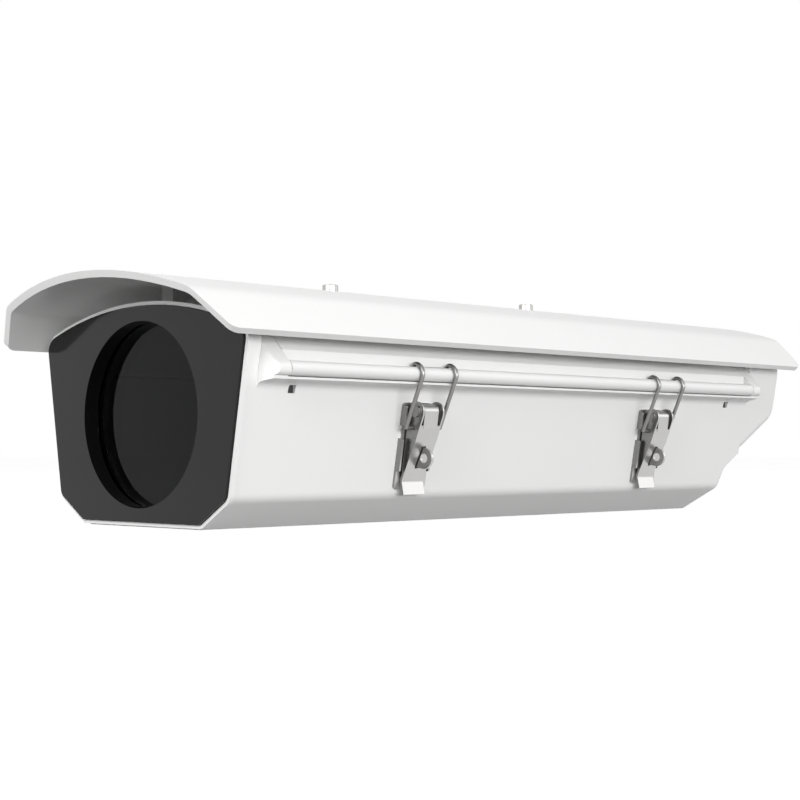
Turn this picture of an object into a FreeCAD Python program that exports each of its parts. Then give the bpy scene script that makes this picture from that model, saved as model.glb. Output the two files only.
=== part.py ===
import FreeCAD, Part
import math
import os

from FreeCAD import Vector

# Side-opening weatherproof camera housing with a sunshield.
# X runs across (latches at +X, hinge at -X), Y runs from the window to the rear, Z is up.
# Stations along Y are measured from the front rim and moved at export, so that the origin
# is at the bottom, in the middle of the whole part.

# Arched tops: every crown is an arc about one line along Y
arch_axis_z = -105.0

# Lower casting
wall = 3.0
floor_half = 41.0
floor_round = 3.0
heel_x = 61.5
heel_z = 13.0
heel_round = 6.0
side_lean = 9.73
body_crown = 100.3
body_round = 8.0
collar_end = 8.0
front_wall_start = 4.0
front_wall = 2.5

# Raised rim round the front
rim_proud = 0.8
rim_depth = 2.0
rim_floor = 0.5
rim_band = 1.6

# Rear end, seen from the side: undercut, cable slope, upright back, measured from the rear block
tail_floor_ahead = 22.9
tail_bend_ahead = 13.4
tail_bend_z = 24.0
tail_slope = 32.6
tail_length = 35.1
tail_bend_round = 12.0
tail_heel_round = 12.0
tail_edge_round = 6.0

# Flange under the lid
flange_top = 65.6
flange_lip_x = 79.3
flange_lip = 1.0
flange_root_z = 63.0
flange_cove = 4.0

# Lid and its bead, which the latches hook on
lid_seam = 0.4
bead_x = 78.4
bead_r = 3.3
bead_back_round = 0.6
lid_front = 17.8
lid_length = 359.3
lid_crown = 100.0
lid_round = 8.0
lid_wall = 2.5
bead_seat_depth = 1.9

# Cast blocks before and behind the lid
block_round_depth = 4.0
block_round_reach = 11.2
block_margin = 0.5
block_lip = 0.8

# Upstand of the casting inside the lid
tongue_gap = 1.5
tongue_side_x = 70.6
tongue_wall = 2.5
tongue_reach = 6.0
tongue_top_z = 69.5
tongue_round = 5.0

# Lid gasket
gasket_depth = 1.2
gasket_low = 68.0
gasket_strip = 3.5
gasket_end_band = 5.0

# Hinge on the far side
hinge_inset = 72.2
lug_width = 16.0
lug_play = 0.5
lug_r = 2.8
lug_stem = 2.5
lug_headroom = 1.0
hinge_pin_r = 1.5
hinge_pin_engage = 10.0
running_fit = 0.15
close_fit = 0.05

# Front window
window_z = 50.4
bezel_gap = 0.2
bezel_proud = 1.3
bezel_collar_end = 6.0
glass_r = 46.0
glass_t = 4.0
glass_edge = 0.4
bezel_cover = 4.0
collar_cover = 1.4
seal_cover = 2.4
seat_cover = 3.0
seal_wrap = 0.7
seal_lip = 0.8
seat_t = 2.5
seat_fit = 0.1
window_boss_wall = 2.6
bezel_screw_x = 53.0
bezel_screw_dz = 27.0
bezel_boss_r = 3.2
bezel_boss_gap = 0.3
bezel_skin = 1.2
bezel_screw_r = 1.5
bezel_screw_head_r = 4.2
bezel_screw_head = 2.2

# Sunshield
shield_t = 3.0
shield_crown = 112.3
shield_round = 12.0
shield_slope_sum = 169.6
shield_lip_diff = 1.2
shield_lip_front = -16.2
shield_lip_z = 81.4
shield_rake = 28.5
shield_rear_over = 2.5
shield_tip_round = 5.0
shield_screw_inset_front = 98.5
shield_screw_inset_rear = 108.1
spacer_r = 6.0
shield_screw_r = 2.5
shield_screw_head_r = 4.0
shield_screw_head = 3.9
shield_screw_edge = 0.5
shield_screw_socket_r = 2.2
shield_screw_socket = 2.0
shield_screw_reach = 5.5
shield_washer_r = 5.5
shield_washer = 1.0
lid_boss_r = 5.5
lid_boss_skin = 1.5
buffer_half = 4.0
buffer_front = 14.5
buffer_length = 7.5
buffer_gap = 0.3

# Side latches: sizes along the wall's own axes, out from it and up along it
latch_inset_front = 89.8
latch_inset_rear = 84.7
latch_root_z = 16.9
base_t = 1.2
base_half = 10.3
base_top = 40.3
base_bottom = -0.4
base_flange_out = 3.2
base_flange_t = 0.9
base_flange_low = 8.0
base_notch_low = 23.5
base_notch_high = 29.6
base_notch_depth = 1.6
base_corner = 1.5
ear_inner = 4.9
ear_t = 0.9
ear_low = 28.0
ear_low_out = 7.4
ear_out = 8.6
ear_knee = 32.0
eye_out = 8.8
eye_up = 15.4
eye_r = 4.9
eye_hole_r = 2.2
eye_t = 1.5
pivot_out = 6.4
pivot_up = 37.0
latch_pin_r = 2.0
latch_pin_head_r = 2.7
latch_pin_head = 0.7
cheek_inner = 6.2
cheek_t = 0.9
cheek_back = 1.8
cheek_low = 8.6
sheet_t = 1.2
curl_half = 4.6
curl_open = 2.2
face_low_out = 2.46
face_low_up = 3.8
face_mid_out = 5.0
face_mid_up = 12.9
face_high_out = 8.2
face_high_up = 23.1
face_top_out = 9.86
face_top_up = 30.9
face_tip_out = 4.9
face_tip_up = -2.3
face_bend_r = 12.0
tip_bend_r = 2.4
slot_half = 1.3
slot_margin = 0.6
bail_out = 5.3
bail_up = 29.2
wire_r = 1.0
bail_half = 11.3
hook_gap = 0.3
hook_drop = 1.95
groove_gap = 0.35
rivet_up = 23.5
rivet_pitch = 10.0
rivet_r = 1.4
rivet_head_r = 2.2
rivet_head = 0.9

# Moulded blind pockets in the side walls near both ends
pocket_inset_front = 10.2
pocket_inset_rear = 11.6
pocket_length = 4.0
pocket_low = 59.0
pocket_height = 3.5
pocket_depth = 5.0
pocket_wall = 2.0

# Cable glands on the rear slope, fitted with blanking plugs
gland_x = 13.0
gland_ahead = 27.0
gland_thread_r = 6.0
gland_flats = 16.0
gland_flange = 4.0
gland_neck_r = 6.6
gland_neck = 5.5
gland_bore_r = 4.2
gland_stem = 9.0
gland_nut_wall = 1.8
gland_nut_gap = 0.4
gland_nut_hex = 5.0
gland_nut_dome = 4.0
gland_mouth_r = 3.4
gland_plug_r = 3.0
gland_plug_out = 1.5
gland_plug_depth = 2.0
gland_plug_round = 0.75
locknut_t = 3.0
locknut_flats = 15.0

# Camera tray on four pillars, with a camera screw in its slot
tray_half = 42.0
tray_front = 48.0
tray_board_gap = 14.0
tray_t = 2.0
tray_z = 14.0
tray_corner = 6.0
tray_slot_half = 3.4
tray_slot_inset = 12.0
tray_slot_length = 150.0
pillar_r = 4.0
pillar_inset_x = 8.0
pillar_inset_y = 10.0
tray_screw_r = 2.0
tray_screw_head_r = 3.6
tray_screw_head = 2.2
camera_screw_along = 90.0
camera_screw_r = 3.1
camera_screw_rise = 6.0
camera_knob_r = 9.0
camera_knob = 6.0
camera_knob_groove_r = 1.2
camera_knob_grooves = 12

# Terminal board behind the tray
board_half = 32.0
board_ahead = 40.0
board_length = 30.0
board_z = 11.0
board_t = 1.6
board_post_r = 3.0
board_inset = 4.0
board_screw_r = 1.25
board_screw_head_r = 2.4
board_screw_head = 1.6
block_ways = 6
block_pitch = 7.5
block_depth = 12.0
block_height = 11.0
block_wire_r = 1.6
block_wire_rise = 3.7
block_driver_r = 1.9
block_driver_depth = 4.0
block_driver_shift = 2.4

# Earth screw on a boss of the floor
earth_x = -48.0
earth_along = 14.0
earth_boss_r = 4.5
earth_boss_z = 16.0
earth_screw_r = 2.0
earth_head_r = 4.0
earth_head = 2.4

# Tapped bracket holes in the floor
mount_half_x = 22.0
mount_half_y = 45.0
mount_centre_y = 200.0
mount_hole_r = 2.5
mount_hole_depth = 9.0
mount_boss_r = 6.0
mount_boss_z = 12.0

# Cross-recessed heads, as shares of their own radius and height
head_round_share = 0.4
recess_reach_share = 0.6
recess_width_share = 0.15
recess_floor_share = 0.5

# Floor left under blind holes, and room below a screw's tip
blind_floor = 1.5
tip_gap = 0.3

far = 300.0
tiny = 0.000001
sheet_edge_slack = 1.3
hexagon_sides = 6
quarter_turn = 90
half_turn = 180
axis_x = Vector(1, 0, 0)
axis_y = Vector(0, 1, 0)
axis_z = Vector(0, 0, 1)
zero = Vector(0, 0, 0)

# Values that follow from the driving sizes
root_two = math.sqrt(2.0)
lid_back = lid_front + lid_length
block_front_end = lid_front - lid_seam
block_rear_start = lid_back + lid_seam
block_rear_end = block_rear_start + block_front_end - collar_end
tail_floor_y = block_rear_end - tail_floor_ahead
tail_bend_y = block_rear_end - tail_bend_ahead
tail_back_y = block_rear_end + tail_length
front_wall_end = front_wall_start + front_wall
bead_z = flange_top + lid_seam + bead_r
bead_out_x = bead_x + bead_r
block_full = bead_out_x + block_margin
block_foot = block_full - block_round_reach
shoulder_sum = bead_x + bead_z + bead_r * root_two
crossbar_x = bead_x - hook_drop
bead_back_x = crossbar_x + wire_r + groove_gap
lid_wall_x = crossbar_x - wire_r - groove_gap
groove_floor_z = bead_z + bead_r - bead_seat_depth
hook_r = bead_r + wire_r + hook_gap
crossbar_z = bead_z + hook_r - hook_drop
lid_inner_x = lid_wall_x - lid_wall
bezel_face = -bezel_proud
sight_r = glass_r - bezel_cover
bezel_collar_r = glass_r - collar_cover
seal_sight_r = glass_r - seal_cover
seat_sight_r = glass_r - seat_cover
glass_front = bezel_collar_end + seal_lip
glass_back = glass_front + glass_t
seal_back = glass_back + seal_lip
window_pocket_r = glass_r + seal_wrap + seat_fit
window_boss_r = window_pocket_r + window_boss_wall
latch_root_x = heel_x + (latch_root_z - heel_z) * math.tan(math.radians(side_lean))
shield_lip_x = (shield_slope_sum + shield_lip_diff) / 2
shield_under_sum = shield_slope_sum - shield_t * root_two
shield_front = shield_lip_front - (shield_crown - shield_lip_z) * math.tan(math.radians(shield_rake))
shield_rear = tail_back_y + shield_rear_over
middle_y = (shield_front + shield_rear) / 2
hinge_stations = (lid_front + hinge_inset, lid_back - hinge_inset)
latch_stations = (lid_front + latch_inset_front, lid_back - latch_inset_rear)
shield_screw_stations = (lid_front + shield_screw_inset_front, lid_back - shield_screw_inset_rear)
pocket_stations = (lid_front + pocket_inset_front, lid_back - pocket_inset_rear)
rivet_ups = (rivet_up, rivet_up + rivet_pitch)
gland_y = tail_back_y - gland_ahead
board_front = tail_floor_y - board_ahead
tray_back = board_front - tray_board_gap
tray_slot_front = tray_front + tray_slot_inset
camera_screw_y = tray_slot_front + camera_screw_along
earth_y = board_front + earth_along


# Sections

def at(point):
    """The point (x, z, ...) of a section as a vector in the plane Y = 0."""
    return Vector(point[0], 0, point[1])


def line_to(edges, start, end):
    """Add a straight edge, unless the points are the same."""
    if start.distanceToPoint(end) > tiny:
        edges.append(Part.LineSegment(start, end).toShape())


def rounded_edges(points):
    """Edges through the points (x, z, corner radius), with the corners rounded."""
    edges = []
    start = at(points[0])
    for before, corner, after in zip(points, points[1:], points[2:]):
        here = at(corner)
        back = (at(before) - here).normalize()
        ahead = (at(after) - here).normalize()
        if corner[2] <= 0:
            line_to(edges, start, here)
            start = here
            continue
        half = back.getAngle(ahead) / 2
        reach = corner[2] / math.tan(half)
        first = here + back * reach
        last = here + ahead * reach
        middle = here + (back + ahead).normalize() * (corner[2] / math.sin(half) - corner[2])
        line_to(edges, start, first)
        edges.append(Part.Arc(first, middle, last).toShape())
        start = last
    line_to(edges, start, at(points[-1]))
    return edges


def outline(points):
    """Face inside a closed chain of points (x, z, corner radius)."""
    first = points[0]
    last = points[-1]
    seam = ((first[0] + last[0]) / 2, (first[1] + last[1]) / 2, 0)
    return Part.Face(Part.Wire(rounded_edges([seam] + list(points) + [seam])))


def inset(side, depth):
    """The side chain moved inwards, to its left, by one depth."""
    moved = []
    for index, point in enumerate(side):
        here = at(point)
        normals = []
        if index > 0:
            run = (here - at(side[index - 1])).normalize()
            normals.append(Vector(-run.z, 0, run.x))
        if index < len(side) - 1:
            run = (at(side[index + 1]) - here).normalize()
            normals.append(Vector(-run.z, 0, run.x))
        if len(normals) == 1:
            place = here + normals[0] * depth
            moved.append((place.x, place.z, 0))
            continue
        place = here + (normals[0] + normals[1]) * (depth / (1 + normals[0].dot(normals[1])))
        turns_in = normals[0].cross(normals[1]).y < 0
        radius = point[2]
        if radius > 0:
            radius = radius - depth if turns_in else radius + depth
        moved.append((place.x, place.z, max(radius, 0)))
    return moved


def arch_face(side, crown, corner):
    """Closed section: a side chain from the bottom middle, its mirror image and an arched top."""
    low = at(side[-2])
    high = at(side[-1])
    run = (high - low).normalize()
    inward = Vector(-run.z, 0, run.x)
    axis = Vector(0, 0, arch_axis_z)
    radius = crown - arch_axis_z
    base = high + inward * corner - axis
    along = base.dot(run)
    reach = math.sqrt(along * along - base.dot(base) + (radius - corner) ** 2) - along
    centre = axis + base + run * reach
    first = centre - inward * corner
    last = centre + (centre - axis).normalize() * corner
    middle = centre + ((first - centre) + (last - centre)).normalize() * corner
    right = rounded_edges(list(side[:-1]) + [(first.x, first.z, 0)])
    right.append(Part.Arc(first, middle, last).toShape())
    left = [edge.mirror(zero, axis_x) for edge in right]
    top = Part.Arc(last, Vector(0, 0, crown), Vector(-last.x, 0, last.z)).toShape()
    return Part.Face(Part.Wire(Part.sortEdges(right + left + [top])[0]))


def prism(face, front, back):
    """The section from one station along Y to another."""
    solid = face.extrude(Vector(0, back - front, 0))
    solid.translate(Vector(0, front, 0))
    return solid


def side_prism(face, half):
    """A section drawn as (y, z), made as wide as the part along X."""
    solid = prism(face, -half, half)
    solid.rotate(zero, axis_z, quarter_turn)
    return solid


def block(x_low, x_high, y_low, y_high, z_low, z_high):
    """Box between two corners."""
    size = (x_high - x_low, y_high - y_low, z_high - z_low)
    return Part.makeBox(size[0], size[1], size[2], Vector(x_low, y_low, z_low))


def rod_y(radius, front, back, x, z):
    """Round bar along Y."""
    return Part.makeCylinder(radius, back - front, Vector(x, front, z), axis_y)


def rod_z(radius, low, high, x, y):
    """Round bar along Z."""
    return Part.makeCylinder(radius, high - low, Vector(x, y, low), axis_z)


def mirrored(solid):
    """The same solid on the other side of the part."""
    return solid.mirror(zero, axis_x)


def both_sides(solid):
    """The solid and its mirror image."""
    return [solid, mirrored(solid)]


def joined(solids):
    """One solid from several that meet."""
    whole = solids[0].fuse(solids[1:])
    return whole.removeSplitter()


def hexagon(flats, low, high):
    """Hexagonal prism along Z."""
    corner = flats / math.sqrt(3.0)
    points = []
    for step in range(hexagon_sides + 1):
        turn = 2 * math.pi * step / hexagon_sides
        points.append(Vector(corner * math.cos(turn), corner * math.sin(turn), low))
    return Part.Face(Part.makePolygon(points)).extrude(Vector(0, 0, high - low))


def wall_x(z):
    """Outer face of the side wall at one height."""
    return heel_x + (z - heel_z) * math.tan(math.radians(side_lean))


def shoulder(side_x, slope_sum, bottom):
    """Side chain with an upright side and a shoulder at 45 degrees."""
    knee_z = slope_sum - side_x
    return [(0, bottom, 0), (side_x, bottom, 0), (side_x, knee_z, 0), (side_x - wall, knee_z + wall, 0)]


# Section chains that pieces share
body_side = [
    (0, 0, 0),
    (floor_half, 0, floor_round),
    (heel_x, heel_z, heel_round),
    (wall_x(body_crown), body_crown, 0),
]


def rim_side():
    """Side chain of the raised rim: the body's, a little larger, on its own floor line."""
    grown = inset(body_side, -rim_proud)
    toe = grown[1]
    heel = grown[2]
    share = (rim_floor - toe[1]) / (heel[1] - toe[1])
    toe_x = toe[0] + share * (heel[0] - toe[0])
    return [(0, rim_floor, 0), (toe_x, rim_floor, toe[2]), heel, grown[3]]


def rim_face(depth):
    """Section of the rim, moved inwards by one depth."""
    grown = rim_proud - depth
    return arch_face(inset(rim_side(), depth), body_crown + grown, body_round + grown)


def lid_inside_face(depth, bottom):
    """Section of the lid's inside, moved inwards by one depth."""
    inner_sum = shoulder_sum - (lid_wall + depth) * root_two
    side = shoulder(lid_inner_x - depth, inner_sum, bottom)
    return arch_face(side, lid_crown - lid_wall - depth, lid_round - lid_wall - depth)


def tongue_face(depth, bottom):
    """Section of the upstand inside the lid, moved inwards by one depth."""
    outer_sum = shoulder_sum - (lid_wall + tongue_gap + depth) * root_two
    side = shoulder(tongue_side_x - depth, outer_sum, bottom)
    return arch_face(side, lid_crown - lid_wall - tongue_gap - depth, tongue_round - depth)


def tail_prism(depth):
    """The space in front of the rear outline, moved inwards by one depth."""
    lean = (tail_bend_y - tail_floor_y) / tail_bend_z
    rise = (tail_back_y - tail_bend_y) * math.tan(math.radians(tail_slope))
    chain = [
        (tail_floor_y - far * lean, -far, 0),
        (tail_bend_y, tail_bend_z, tail_bend_round),
        (tail_back_y, tail_bend_z + rise, tail_heel_round),
        (tail_back_y, far, 0),
    ]
    moved = [(-far, -far, 0)] + inset(chain, depth) + [(-far, far, 0)]
    return side_prism(outline(moved), far)


def slope_point(y):
    """Height of the rear slope at one station."""
    return tail_bend_z + (y - tail_bend_y) * math.tan(math.radians(tail_slope))


# Lower casting

def plan_rounding():
    """Plan outline that rounds the ends of the flange and the blocks."""
    edges = []
    reach = block_full - block_foot
    for end, turn in ((collar_end, 1), (block_rear_end, -1)):
        centre_y = end + turn * block_round_depth
        ellipse = Part.Ellipse(Vector(block_foot, centre_y, 0), reach, block_round_depth)
        angles = (-math.pi / 2, 0) if turn > 0 else (0, math.pi / 2)
        edges.append(Part.ArcOfEllipse(ellipse, angles[0], angles[1]).toShape())
    low_y = collar_end + block_round_depth
    high_y = block_rear_end - block_round_depth
    line_to(edges, Vector(0, collar_end, 0), Vector(block_foot, collar_end, 0))
    line_to(edges, Vector(block_full, low_y, 0), Vector(block_full, high_y, 0))
    line_to(edges, Vector(block_foot, block_rear_end, 0), Vector(0, block_rear_end, 0))
    edges = edges + [edge.mirror(zero, axis_x) for edge in edges]
    return Part.Face(Part.Wire(Part.sortEdges(edges)[0])).extrude(Vector(0, 0, far))


def flange_and_blocks():
    """Flange along both sides and the full-height blocks at its ends."""
    root_x = wall_x(flange_root_z)
    low_z = flange_root_z - 2 * flange_cove
    flange = outline([
        (wall_x(low_z) - wall, low_z, 0),
        (wall_x(low_z), low_z, 0),
        (root_x, flange_root_z, flange_cove),
        (flange_lip_x, flange_top - flange_lip, 0),
        (flange_lip_x, flange_top, 0),
        (wall_x(low_z) - wall, flange_top, 0),
    ])
    flange_solid = prism(flange, collar_end, block_rear_end)
    lip_low = flange_top - block_lip
    crease = flange_top + lid_seam
    knee_z = shoulder_sum - bead_out_x
    side = [
        (0, lip_low, 0),
        (flange_lip_x, lip_low, 0),
        (flange_lip_x, crease, 0),
        (bead_out_x, crease, bead_out_x - flange_lip_x),
        (bead_out_x, knee_z, bead_r),
        (bead_out_x - 2 * bead_r, knee_z + 2 * bead_r, 0),
    ]
    block_face = arch_face(side, lid_crown, lid_round)
    front = prism(block_face, collar_end, block_front_end)
    rear = prism(block_face, block_rear_start, block_rear_end)
    whole = joined(both_sides(flange_solid) + [front, rear])
    return whole.common(plan_rounding())


def tongues():
    """Upstand inside the lid: low strips along the sides and arches at the ends."""
    root_z = flange_root_z
    start = collar_end + block_round_depth
    end = block_rear_end - block_round_depth
    face = tongue_face(0, root_z)
    strips = prism(face, start, end).common(block(-far, far, start, end, root_z, tongue_top_z))
    front = prism(face, start, block_front_end + tongue_reach)
    rear = prism(face, block_rear_start - tongue_reach, end)
    return [strips, front, rear]


def rear_end():
    """Closed rear end with its edges rounded."""
    body_face = arch_face(body_side, body_crown, body_round)
    solid = prism(body_face, block_rear_end, tail_back_y + wall).common(tail_prism(0))
    edges = []
    for edge in solid.Edges:
        box = edge.BoundBox
        if box.YMin > tail_back_y - tiny and box.ZLength > tiny:
            edges.append(edge)
    return solid.makeFillet(tail_edge_round, edges)


def cavity():
    """Room inside the casting, open upwards under the lid."""
    body_inner = arch_face(inset(body_side, wall), body_crown - wall, body_round - wall)
    inner_top = tongue_face(tongue_wall, -wall)
    chamber = prism(body_inner, block_rear_end, far * 2).common(tail_prism(wall))
    hall = prism(body_inner, front_wall_end, block_rear_end)
    hall = hall.common(prism(inner_top, front_wall_end, block_rear_end)).common(tail_prism(wall))
    return hall.fuse(chamber)


def window_ring():
    """Boss behind the front wall that holds the glass and its seal."""
    return rod_y(window_boss_r, front_wall_start, seal_back + seat_t, 0, window_z)


def window_holes():
    """Pocket for the glass and seal, and the opening behind them."""
    pocket = rod_y(window_pocket_r, front_wall_start - wall, seal_back, 0, window_z)
    sight = rod_y(seat_sight_r, front_wall_start, seal_back + seat_t + wall, 0, window_z)
    return [pocket, sight]


def bezel_screw_places():
    """The four (x, z) places of the bezel screws."""
    heights = (window_z - bezel_screw_dz, window_z + bezel_screw_dz)
    return [(x, z) for x in (-bezel_screw_x, bezel_screw_x) for z in heights]


def pocket_bosses():
    """Solid backs of the blind side pockets."""
    solids = []
    inner_x = wall_x(pocket_low) - pocket_depth - pocket_wall
    for station in pocket_stations:
        half = pocket_length / 2 + pocket_wall
        solids += both_sides(block(inner_x, wall_x(pocket_low) - wall / 2, station - half, station + half,
                                   pocket_low - pocket_wall, flange_top))
    return solids


def side_pockets():
    """Blind pockets under the flange near both ends."""
    solids = []
    inner_x = wall_x(pocket_low) - pocket_depth
    for station in pocket_stations:
        half = pocket_length / 2
        solids += both_sides(block(inner_x, far, station - half, station + half,
                                   pocket_low, pocket_low + pocket_height))
    return solids


def floor_places(half_x, low_y, high_y):
    """Four places of a rectangle on the floor."""
    return [(x, y) for x in (-half_x, half_x) for y in (low_y, high_y)]


def mount_places():
    """The four tapped bracket holes."""
    return floor_places(mount_half_x, mount_centre_y - mount_half_y, mount_centre_y + mount_half_y)


def tray_places():
    """The four pillars of the camera tray."""
    return floor_places(tray_half - pillar_inset_x, tray_front + pillar_inset_y,
                        tray_back - pillar_inset_y)


def board_places():
    """The four posts of the terminal board."""
    return floor_places(board_half - board_inset, board_front + board_inset,
                        board_front + board_length - board_inset)


def floor_bosses():
    """Bosses that stand on the floor, cut off at the outside of the casting."""
    inside = prism(arch_face(body_side, body_crown, body_round), 0, block_rear_end)
    solids = [rod_z(mount_boss_r, wall / 2, mount_boss_z, x, y) for x, y in mount_places()]
    solids += [rod_z(board_post_r, wall / 2, board_z, x, y) for x, y in board_places()]
    solids.append(rod_z(earth_boss_r, wall, earth_boss_z, earth_x, earth_y))
    return [solid.common(inside) for solid in solids]


def floor_holes():
    """Blind tapped holes in the floor's bosses."""
    solids = [rod_z(mount_hole_r, -wall, mount_hole_depth, x, y) for x, y in mount_places()]
    solids += [rod_z(board_screw_r, wall, board_z + wall, x, y) for x, y in board_places()]
    solids += [rod_z(tray_screw_r, blind_floor, 2 * wall, x, y) for x, y in tray_places()]
    solids.append(rod_z(earth_screw_r, earth_boss_z - 2 * wall, earth_boss_z + wall, earth_x, earth_y))
    return solids


def hinge_lugs():
    """Cast lugs that carry the hinge pins."""
    solids = []
    for station in hinge_stations:
        front = station - lug_width / 2
        back = station + lug_width / 2
        knuckle = rod_y(lug_r, front, back, -bead_x, bead_z)
        stem = block(-flange_lip_x, -bead_x + lug_stem, front, back, flange_top - flange_lip, bead_z)
        solids += [knuckle, stem]
    return solids


def hinge_holes(radius, reach):
    """Bores on the hinge line at both hinge stations."""
    half = lug_width / 2 + reach
    return [rod_y(radius, station - half, station + half, -bead_x, bead_z) for station in hinge_stations]


def lower_housing():
    """Cast trough with closed ends."""
    body_face = arch_face(body_side, body_crown, body_round)
    collar = prism(body_face, rim_depth, collar_end)
    trough = prism(body_face, collar_end, block_rear_end)
    trough = trough.common(block(-far, far, 0, far * 2, -wall, flange_top)).common(tail_prism(0))
    rim = prism(rim_face(0), 0, rim_depth)
    shell = joined([collar, trough, rim, rear_end(), flange_and_blocks().common(tail_prism(0))] + tongues())
    shell = shell.cut(cavity())
    ring = window_ring().common(prism(body_face, front_wall_start, seal_back + seat_t))
    ring = ring.common(block(-far, far, 0, far, 0, lid_crown - tongue_gap))
    extras = [ring] + pocket_bosses() + floor_bosses() + hinge_lugs()
    shell = joined([shell] + extras)
    recess = prism(rim_face(rim_band), -rim_depth, front_wall_start)
    holes = [recess] + window_holes() + side_pockets() + floor_holes()
    holes += hinge_holes(hinge_pin_r + close_fit, wall)
    for x, z in bezel_screw_places():
        holes.append(rod_y(bezel_boss_r + bezel_boss_gap, 0, front_wall_end + wall, x, z))
    gland_hole = rod_z(gland_thread_r + close_fit, -2 * wall, wall, 0, 0)
    holes += [gland_frame(gland_hole, side) for side in (-1, 1)]
    holes += rivet_holes()
    return shell.cut(holes)


# Front window

def front_bezel():
    """Dark front plate with a collar that clamps the seal."""
    plate = prism(rim_face(rim_band + bezel_gap), bezel_face, front_wall_start)
    collar = rod_y(bezel_collar_r, front_wall_start, bezel_collar_end, 0, window_z)
    bosses = []
    holes = [rod_y(sight_r, -far, bezel_collar_end + wall, 0, window_z)]
    for x, z in bezel_screw_places():
        bosses.append(rod_y(bezel_boss_r, front_wall_start, front_wall_end - bezel_boss_gap, x, z))
        holes.append(rod_y(bezel_screw_r, bezel_face + bezel_skin, front_wall_end, x, z))
    return joined([plate, collar] + bosses).cut(holes)


def window_glass():
    """Flat glass disc with ground edges."""
    disc = rod_y(glass_r, glass_front, glass_back, 0, window_z)
    return disc.makeChamfer(glass_edge, [edge for edge in disc.Edges if edge.Closed])


def window_gasket():
    """Rubber seal with a U section round the edge of the glass."""
    ring = rod_y(glass_r + seal_wrap, bezel_collar_end, seal_back, 0, window_z)
    slot = rod_y(glass_r, glass_front, glass_back, 0, window_z)
    sight = rod_y(seal_sight_r, 0, far, 0, window_z)
    return ring.cut([slot, sight])


def pan_screw(radius, length, head_r, head):
    """Screw along Z: its head stands on Z = 0 and its shank goes down, with a cross recess."""
    shank = rod_z(radius, -length, 0, 0, 0)
    top = rod_z(head_r, 0, head, 0, 0)
    rim = [edge for edge in top.Edges if edge.Closed and edge.BoundBox.ZMin > head / 2]
    top = top.makeFillet(head * head_round_share, rim)
    reach = head_r * recess_reach_share
    half = head * recess_width_share
    bar = block(-reach, reach, -half, half, head * recess_floor_share, 2 * head)
    cross = bar.copy()
    cross.rotate(zero, axis_z, quarter_turn)
    return shank.fuse(top).cut([bar, cross]).removeSplitter()


def bezel_screws():
    """Four screws that hold the bezel from inside."""
    screws = []
    length = front_wall_end - bezel_face - bezel_skin - bezel_boss_gap
    for x, z in bezel_screw_places():
        screw = pan_screw(bezel_screw_r - close_fit, length, bezel_screw_head_r, bezel_screw_head)
        screw.rotate(zero, axis_x, -quarter_turn)
        screw.translate(Vector(x, front_wall_end, z))
        screws.append(screw)
    return Part.makeCompound(screws)


# Lid

def bead_rails():
    """Latch bead on the near side and hinge barrel on the far side."""
    top = bead_z + bead_r
    low = bead_z - bead_r
    near = outline([
        (lid_inner_x, low, 0),
        (bead_out_x, low, bead_r),
        (bead_out_x, top, bead_r),
        (bead_back_x, top, bead_back_round),
        (bead_back_x, groove_floor_z, 0),
        (lid_inner_x, groove_floor_z, 0),
    ])
    barrel = outline([
        (-lid_inner_x, low, 0),
        (-lid_inner_x, top, 0),
        (-bead_out_x, top, bead_r),
        (-bead_out_x, low, bead_r),
    ])
    return [prism(near, lid_front, lid_back), prism(barrel, lid_front, lid_back)]


def lid_cover():
    """Cast lid: a shell with a bead, a hinge barrel and two screw bosses."""
    side = shoulder(lid_wall_x, shoulder_sum, bead_z - bead_r)
    shell = prism(arch_face(side, lid_crown, lid_round), lid_front, lid_back)
    whole = joined([shell] + bead_rails())
    whole = whole.cut(prism(lid_inside_face(0, -far), lid_front - wall, lid_back + wall))
    boss_low = lid_crown - lid_wall - shield_screw_reach
    bosses = []
    holes = []
    for station in shield_screw_stations:
        boss = rod_z(lid_boss_r, boss_low, lid_crown, 0, station)
        bosses.append(boss.common(prism(arch_face(side, lid_crown, lid_round), 0, far * 2)))
        holes.append(rod_z(shield_screw_r, boss_low + lid_boss_skin, far, 0, station))
    whole = joined([whole] + bosses)
    half = lug_width / 2 + lug_play
    lug_top = bead_z + bead_r + lug_headroom
    for station in hinge_stations:
        holes.append(block(-far, -lid_wall_x, station - half, station + half, 0, lug_top))
    return whole.cut(holes + hinge_holes(hinge_pin_r + running_fit, hinge_pin_engage + lug_play))


def lid_gasket():
    """Rubber seal on the lid's inside: strips along the sides, bands round both ends."""
    outer = prism(lid_inside_face(0, gasket_low), lid_front, lid_back)
    inner = prism(lid_inside_face(gasket_depth, -far), 0, far * 2)
    sheet = outer.cut(inner)
    strips = block(-far, far, lid_front, lid_back, gasket_low, gasket_low + gasket_strip)
    front = block(-far, far, lid_front, lid_front + gasket_end_band, 0, far)
    rear = block(-far, far, lid_back - gasket_end_band, lid_back, 0, far)
    return sheet.common(strips.fuse([front, rear])).removeSplitter()


def hinge_pins():
    """Steel pins of the hinge, each through its lug into the barrel at both sides."""
    half = lug_width / 2 + hinge_pin_engage
    pins = []
    for station in hinge_stations:
        pins.append(rod_y(hinge_pin_r, station - half, station + half, -bead_x, bead_z))
    return pins


# Sunshield

def shield_under():
    """The space under the shield."""
    chain = shoulder(shield_lip_x + wall, shield_under_sum, -far)
    return prism(arch_face(chain, shield_crown - shield_t, shield_round - shield_t), -far, far * 2)


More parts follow.
